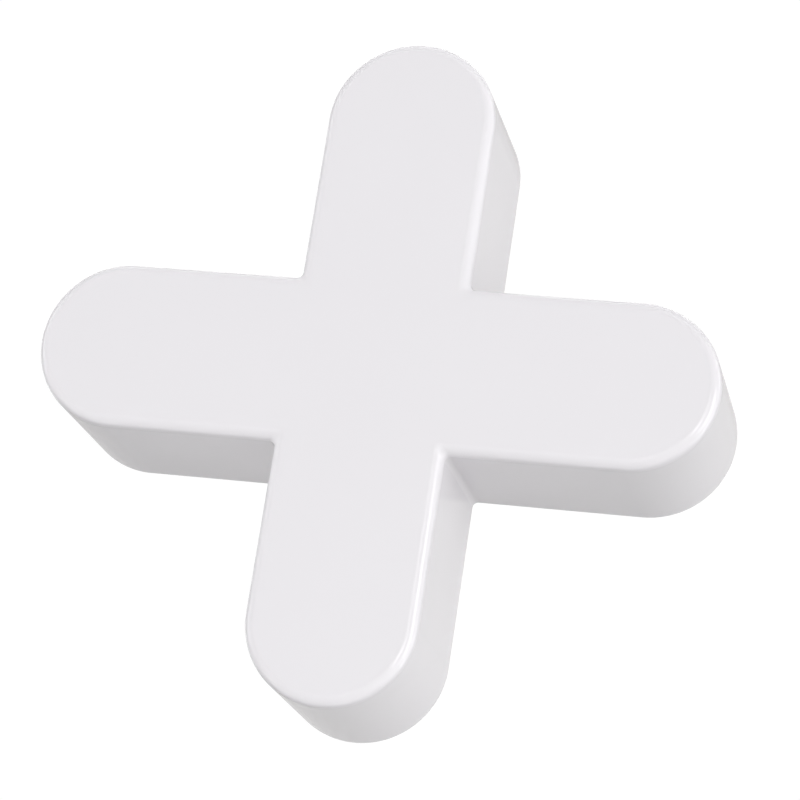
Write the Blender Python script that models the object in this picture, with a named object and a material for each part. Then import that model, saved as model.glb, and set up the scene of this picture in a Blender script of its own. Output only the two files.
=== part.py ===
"""Cross-shaped tile spacer, moulded in one piece of solid white plastic.

Four equal arms lie in the X-Y plane, along +X, +Y, -X and -Y. Each arm is as
wide as the grout joint that it keeps open and ends in a full half round. The
spacer rests on its lower face: the origin is the centre of that face, +Z up.
All lengths are in metres.
"""

import math

import bmesh
import bpy

# Driving dimensions
JOINT_WIDTH = 0.00500      # width of every arm, which is the joint between tiles
OVERALL_LENGTH = 0.02009   # from tip to tip, along X and along Y
THICKNESS = 0.00509        # lower face to upper face
EDGE_RADIUS = 0.00032      # rounding of the upper and lower rims

# How finely the round parts are drawn
TIP_STEPS = 36             # steps round the half circle at an arm's end
EDGE_RESOLUTION = 5        # steps across a rounded rim, less one

HALF_WIDTH = JOINT_WIDTH / 2
TIP_CENTRE = OVERALL_LENGTH / 2 - HALF_WIDTH


def arc(centre_x, centre_y, radius, start_deg, end_deg, steps):
    """Points along a circular arc, both ends included."""
    points = []
    for i in range(steps + 1):
        angle = math.radians(start_deg + (end_deg - start_deg) * i / steps)
        points.append((centre_x + radius * math.cos(angle),
                       centre_y + radius * math.sin(angle)))
    return points


def turned(points, degrees):
    """The points turned about the origin."""
    c, s = math.cos(math.radians(degrees)), math.sin(math.radians(degrees))
    return [(x * c - y * s, x * s + y * c) for x, y in points]


def cross_outline():
    """The widest outline of the spacer, anticlockwise, seen from above.

    The arms meet in square inner corners, so that the corner of a tile can
    sit close in them. The rims of two arms meet there in a mitre.
    """
    one_arm = (arc(TIP_CENTRE, 0.0, HALF_WIDTH, -90, 90, TIP_STEPS)
               + [(HALF_WIDTH, HALF_WIDTH)])
    outline = []
    for quarter in range(4):
        outline += turned(one_arm, 90 * quarter)
    return outline


def clear_scene():
    for obj in list(bpy.data.objects):
        bpy.data.objects.remove(obj, do_unlink=True)


def plastic():
    """Glossy white moulded plastic with a faint violet cast."""
    material = bpy.data.materials.new("white_plastic")
    material.use_nodes = True
    shader = material.node_tree.nodes["Principled BSDF"]
    shader.inputs["Base Color"].default_value = (0.815, 0.80, 0.825, 1.0)
    shader.inputs["Roughness"].default_value = 0.12
    shader.inputs["Metallic"].default_value = 0.0
    return material


def make_spacer(collection):
    """A filled flat curve, given its thickness and its rounded rims.

    The curve's own bevel rounds the two rims. It grows outwards from the
    outline, so the offset draws the outline in by the same amount first.
    """
    curve = bpy.data.curves.new("spacer_outline", "CURVE")
    curve.dimensions = "2D"
    curve.fill_mode = "BOTH"
    curve.extrude = THICKNESS / 2 - EDGE_RADIUS
    curve.bevel_depth = EDGE_RADIUS
    curve.bevel_resolution = EDGE_RESOLUTION
    curve.offset = -EDGE_RADIUS
    points = cross_outline()
    spline = curve.splines.new("POLY")
    spline.points.add(len(points) - 1)
    for point, (x, y) in zip(spline.points, points):
        point.co = (x, y, 0.0, 1.0)
    spline.use_cyclic_u = True
    spline.use_smooth = True

    guide = bpy.data.objects.new("spacer_outline", curve)
    guide.location = (0.0, 0.0, THICKNESS / 2)
    collection.objects.link(guide)
    bpy.context.view_layer.update()

    # The rims and the two flat faces are joined into one closed skin.
    graph = bpy.context.evaluated_depsgraph_get()
    mesh = bpy.data.meshes.new_from_object(guide.evaluated_get(graph))
    mesh.name = "spacer"
    spacer = bpy.data.objects.new("spacer", mesh)
    spacer.matrix_world = guide.matrix_world.copy()
    collection.objects.link(spacer)
    bpy.data.objects.remove(guide, do_unlink=True)
    bpy.data.curves.remove(curve)
    return spacer


def tidy(spacer):
    """Welds the skin and shades its curved parts smooth."""
    skin = bmesh.new()
    skin.from_mesh(spacer.data)
    bmesh.ops.remove_doubles(skin, verts=skin.verts, dist=1e-6)
    bmesh.ops.recalc_face_normals(skin, faces=skin.faces)
    skin.to_mesh(spacer.data)
    skin.free()
    spacer.data.shade_smooth()
    spacer.data.set_sharp_from_angle(angle=math.radians(30))


def main():
    clear_scene()
    collection = bpy.data.collections.new("tile_spacer")
    bpy.context.scene.collection.children.link(collection)
    spacer = make_spacer(collection)
    tidy(spacer)
    spacer.data.materials.clear()
    spacer.data.materials.append(plastic())


main()
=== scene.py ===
"""Looks of the tile spacer: a fine-skinned moulded cross on a plain white floor, in soft studio light."""

import math

import bmesh
import bpy
from mathutils import Matrix, Vector


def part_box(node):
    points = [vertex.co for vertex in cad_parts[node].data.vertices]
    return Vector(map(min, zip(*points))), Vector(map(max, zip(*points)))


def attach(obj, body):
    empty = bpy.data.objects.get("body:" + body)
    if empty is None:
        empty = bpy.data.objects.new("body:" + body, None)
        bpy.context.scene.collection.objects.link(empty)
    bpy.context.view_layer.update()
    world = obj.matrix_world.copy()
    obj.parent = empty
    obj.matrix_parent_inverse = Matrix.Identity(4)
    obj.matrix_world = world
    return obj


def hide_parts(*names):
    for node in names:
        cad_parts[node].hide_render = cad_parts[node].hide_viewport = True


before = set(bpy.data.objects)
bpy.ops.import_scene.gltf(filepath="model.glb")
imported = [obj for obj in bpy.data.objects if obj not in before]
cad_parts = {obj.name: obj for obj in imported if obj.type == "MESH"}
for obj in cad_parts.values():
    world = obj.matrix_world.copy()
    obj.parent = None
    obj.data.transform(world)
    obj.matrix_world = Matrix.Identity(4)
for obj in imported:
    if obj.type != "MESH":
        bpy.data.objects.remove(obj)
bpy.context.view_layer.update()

# ------------------------------------------------------------------ the piece
LOW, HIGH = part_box("spacer")
REACH = round((HIGH.x - LOW.x) / 2, 6)     # centre to tip, 10.045 mm
THICKNESS = round(HIGH.z - LOW.z, 6)       # 5.09 mm
HALF_WIDTH = 0.0025                        # half of the 5 mm arm
EDGE_RADIUS = 0.00032                      # upper and lower rims
CORNER_RADIUS = 0.00018                    # where two arms meet
TIP_CENTRE = REACH - HALF_WIDTH

TIP_STEPS = 96
CORNER_STEPS = 16
RIM_STEPS = 20


def outline():
    """(point, outward direction, slide) all round the widest outline, anticlockwise.

    The slide is how the point moves for each metre that the rim draws in. Where two arms
    meet, the rims of both meet in a mitre, so the little fillet keeps its radius.
    """
    corner = HALF_WIDTH + CORNER_RADIUS
    arm = []
    for i in range(TIP_STEPS + 1):
        a = math.radians(-90 + 180 * i / TIP_STEPS)
        n = Vector((math.cos(a), math.sin(a)))
        arm.append((Vector((TIP_CENTRE, 0.0)) + n * HALF_WIDTH, n, -n))
    for i in range(CORNER_STEPS + 1):
        a = math.radians(270 - 90 * i / CORNER_STEPS)
        d = Vector((math.cos(a), math.sin(a)))
        arm.append((Vector((corner, corner)) + d * CORNER_RADIUS, -d, Vector((-1.0, -1.0))))
    whole = []
    for quarter in range(4):
        turn = Matrix.Rotation(math.radians(90 * quarter), 2)
        whole += [(turn @ p, turn @ n, turn @ s) for p, n, s in arm]
    return whole


def rim_profile():
    """(inset, height, outward share, upward share) from the lower flat face to the upper one."""
    rows = []
    for i in range(RIM_STEPS + 1):
        a = math.radians(90 * (1 - i / RIM_STEPS))
        rows.append((EDGE_RADIUS * (1 - math.cos(a)), EDGE_RADIUS * (1 - math.sin(a)), math.cos(a), -math.sin(a)))
    for i in range(RIM_STEPS + 1):
        a = math.radians(90 * i / RIM_STEPS)
        rows.append((EDGE_RADIUS * (1 - math.cos(a)), THICKNESS - EDGE_RADIUS * (1 - math.sin(a)), math.cos(a), math.sin(a)))
    return rows


def make_body():
    """The whole skin in one closed mesh, with the true normal of the rounded form at every point."""
    around, up = outline(), rim_profile()
    bm = bmesh.new()
    rings, normals = [], []
    for inset, z, out, lift in up:
        ring = []
        for p, n, slide in around:
            q = p + slide * inset
            ring.append(bm.verts.new((q.x, q.y, z)))
            normals.append(Vector((n.x * out, n.y * out, -lift * slide.dot(n))).normalized())
        rings.append(ring)
    count = len(around)
    for lower, upper in zip(rings[:-1], rings[1:]):
        for i in range(count):
            j = (i + 1) % count
            bm.faces.new((lower[i], lower[j], upper[j], upper[i]))
    bm.faces.new(list(reversed(rings[0])))
    bm.faces.new(rings[-1])
    bm.verts.index_update()
    for face in bm.faces:
        face.smooth = True
    mesh = bpy.data.meshes.new("spacer_body")
    bm.to_mesh(mesh)
    bm.free()
    mesh.normals_split_custom_set_from_vertices([tuple(n) for n in normals])
    body = bpy.data.objects.new("spacer_body", mesh)
    bpy.context.scene.collection.objects.link(body)
    return body


body = make_body()
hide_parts("spacer")
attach(body, "root")


# ------------------------------------------------------------------ the finish
def white_plastic():
    """Glossy white moulded plastic: the gloss and the colour drift a little over the skin, and
    the skin of the mould leaves a very fine unevenness. Noise scales are per metre."""
    material = bpy.data.materials.new("white_plastic")
    material.use_nodes = True
    tree = material.node_tree
    shader = tree.nodes["Principled BSDF"]
    shader.inputs["IOR"].default_value = 1.49
    place = tree.nodes.new("ShaderNodeTexCoord")

    def noise(scale, detail):
        node = tree.nodes.new("ShaderNodeTexNoise")
        node.inputs["Scale"].default_value = scale
        node.inputs["Detail"].default_value = detail
        tree.links.new(place.outputs["Object"], node.inputs["Vector"])
        return node.outputs["Fac"]

    drift = tree.nodes.new("ShaderNodeValToRGB")
    drift.color_ramp.elements[0].position = 0.3
    drift.color_ramp.elements[0].color = (0.8120, 0.7952, 0.8205, 1.0)
    drift.color_ramp.elements[1].position = 0.7
    drift.color_ramp.elements[1].color = (0.8180, 0.8018, 0.8265, 1.0)
    tree.links.new(noise(260.0, 2.0), drift.inputs["Fac"])
    tree.links.new(drift.outputs["Color"], shader.inputs["Base Color"])

    gloss = tree.nodes.new("ShaderNodeMapRange")
    gloss.inputs["From Min"].default_value = 0.3
    gloss.inputs["From Max"].default_value = 0.7
    gloss.inputs["To Min"].default_value = 0.095
    gloss.inputs["To Max"].default_value = 0.125
    tree.links.new(noise(900.0, 4.0), gloss.inputs["Value"])
    tree.links.new(gloss.outputs["Result"], shader.inputs["Roughness"])

    grain = tree.nodes.new("ShaderNodeBump")
    grain.inputs["Strength"].default_value = 1.0
    grain.inputs["Distance"].default_value = 0.0000004
    tree.links.new(noise(4200.0, 3.0), grain.inputs["Height"])
    tree.links.new(grain.outputs["Normal"], shader.inputs["Normal"])
    return material


body.data.materials.append(white_plastic())

# ------------------------------------------------------------------ the floor
bpy.ops.mesh.primitive_plane_add(size=6.0, location=(0, 0, 0))
floor = bpy.context.object
floor.name = "floor"
floor_finish = bpy.data.materials.new("floor")
floor_finish.use_nodes = True
tree = floor_finish.node_tree
tree.nodes.clear()
lit = tree.nodes.new("ShaderNodeEmission")
lit.inputs["Color"].default_value = (1, 1, 1, 1)
lit.inputs["Strength"].default_value = 1.02
out = tree.nodes.new("ShaderNodeOutputMaterial")
tree.links.new(lit.outputs[0], out.inputs[0])
floor.data.materials.append(floor_finish)
floor.visible_diffuse = floor.visible_glossy = floor.visible_shadow = False

# ------------------------------------------------------------------ the light
# A plain studio: a soft room whose brightness depends only on height, and soft boxes in front of
# it. Their places and brightness were fitted to the tones on the spacer, then rounded. Angles are
# in degrees, azimuth from +X towards +Y, elevation above the floor. White fills the picture behind.
ROOM = ((-90, 1.01), (-60, 0.53), (-30, 0.00), (0, 0.00), (30, 0.86), (60, 0.45), (90, 1.82))  # elevation, brightness
SOFT_BOXES = (  # azimuth, elevation, half width, half height, brightness
    (0, 70, 20, 5, 6.7),
    (45, 70, 20, 5, 2.0),
    (0, 30, 20, 10, 4.4),
    (-150, 20, 40, 5, 1.0),
    (165, 10, 20, 10, 2.3),
    (105, 0, 20, 10, 1.1),
    (-15, 0, 20, 5, 3.7),
    (-120, 0, 60, 5, 2.2),
    (15, -10, 40, 5, 3.1),
    (105, -10, 40, 5, 1.5),
    (135, -40, 60, 5, 2.4),
    (90, -40, 40, 10, 0.8),
)
EDGE = 3.0                                 # how softly a box ends, in degrees: half of it above and below


class Sums:
    """Builds arithmetic in a node tree."""

    def __init__(self, tree):
        self.tree = tree

    def math(self, kind, *values, clamp=False, label=None):
        node = self.tree.nodes.new("ShaderNodeMath")
        node.operation = kind
        node.use_clamp = clamp
        if label:
            node.name = node.label = label
        for socket, value in zip(node.inputs, values):
            if isinstance(value, (int, float)):
                socket.default_value = value
            else:
                self.tree.links.new(value, socket)
        return node.outputs[0]

    def step(self, value, start, end):
        """0 before start, 1 after end, smooth between them."""
        node = self.tree.nodes.new("ShaderNodeMapRange")
        node.interpolation_type = "SMOOTHSTEP"
        self.tree.links.new(value, node.inputs["Value"])
        node.inputs["From Min"].default_value = start
        node.inputs["From Max"].default_value = end
        return node.outputs["Result"]


world = bpy.data.worlds.new("studio")
world.use_nodes = True
tree = world.node_tree
tree.nodes.clear()
sums = Sums(tree)
way = tree.nodes.new("ShaderNodeTexCoord")
split = tree.nodes.new("ShaderNodeSeparateXYZ")
tree.links.new(way.outputs["Generated"], split.inputs[0])
x, y, z = split.outputs
azimuth = sums.math("DEGREES", sums.math("ARCTAN2", y, x))
elevation = sums.math("DEGREES", sums.math("ARCSINE", z))

ROOM_SCALE = 4.0
height = sums.math("DIVIDE", sums.math("ADD", elevation, 90.0), 180.0)
room = tree.nodes.new("ShaderNodeFloatCurve")
room.name = room.label = "room"
curve = room.mapping.curves[0]
for i, (angle, bright) in enumerate(ROOM):
    place = ((angle + 90) / 180, bright / ROOM_SCALE)
    point = curve.points[i] if i < 2 else curve.points.new(*place)
    point.location = place
    point.handle_type = "VECTOR"
room.mapping.update()
tree.links.new(height, room.inputs["Value"])
light = sums.math("MULTIPLY", room.outputs[0], ROOM_SCALE, label="room_power")
for az, el, half_width, half_height, bright in SOFT_BOXES:
    across = sums.math("ABSOLUTE", sums.math("WRAP", sums.math("SUBTRACT", azimuth, az), 180.0, -180.0))
    along = sums.math("ABSOLUTE", sums.math("SUBTRACT", elevation, el))
    wide = sums.step(across, half_width + EDGE, half_width - EDGE)
    high_ = sums.step(along, half_height + EDGE / 2, half_height - EDGE / 2)
    glow = sums.math("MULTIPLY", sums.math("MULTIPLY", wide, high_), bright, label="soft_box")
    light = sums.math("ADD", light, glow)
light = sums.math("MAXIMUM", light, 0.0)

studio = tree.nodes.new("ShaderNodeBackground")
warmth = tree.nodes.new("ShaderNodeMix")          # light from below comes back a little warmer
warmth.data_type = "RGBA"
for socket in warmth.inputs:
    if socket.type == "RGBA" and socket.name == "A":
        socket.default_value = (1.0, 1.0, 1.0, 1.0)
    if socket.type == "RGBA" and socket.name == "B":
        socket.default_value = (1.0, 0.99, 0.982, 1.0)
tree.links.new(sums.step(elevation, -15.0, -50.0), warmth.inputs["Factor"])
tree.links.new([o for o in warmth.outputs if o.type == "RGBA"][0], studio.inputs["Color"])
tree.links.new(light, studio.inputs["Strength"])
white = tree.nodes.new("ShaderNodeBackground")
white.inputs["Color"].default_value = (1, 1, 1, 1)
white.inputs["Strength"].default_value = 1.02
seen = tree.nodes.new("ShaderNodeLightPath")
either = tree.nodes.new("ShaderNodeMixShader")
tree.links.new(seen.outputs["Is Camera Ray"], either.inputs[0])
tree.links.new(studio.outputs[0], either.inputs[1])
tree.links.new(white.outputs[0], either.inputs[2])
out = tree.nodes.new("ShaderNodeOutputWorld")
tree.links.new(either.outputs[0], out.inputs[0])
bpy.context.scene.world = world

# ------------------------------------------------------------------ the camera
camera_data = bpy.data.cameras.new("camera")
camera_data.sensor_width = 36.0
camera_data.lens = 134.5160
camera_data.clip_start = 0.01
camera_data.clip_end = 20.0
camera = bpy.data.objects.new("camera", camera_data)
bpy.context.scene.collection.objects.link(camera)
right = Vector((0.96904399, 0.14833652, -0.19735762))
top = Vector((-0.08033510, 0.94532897, 0.31606869))
back = Vector((0.23345240, -0.29042972, 0.92798198))
place = Matrix((right, top, back)).transposed().to_4x4()
place.translation = Vector((0.02080415, -0.02565373, 0.08374263))
camera.matrix_world = place
bpy.context.scene.camera = camera

bpy.context.scene.view_settings.view_transform = "Standard"
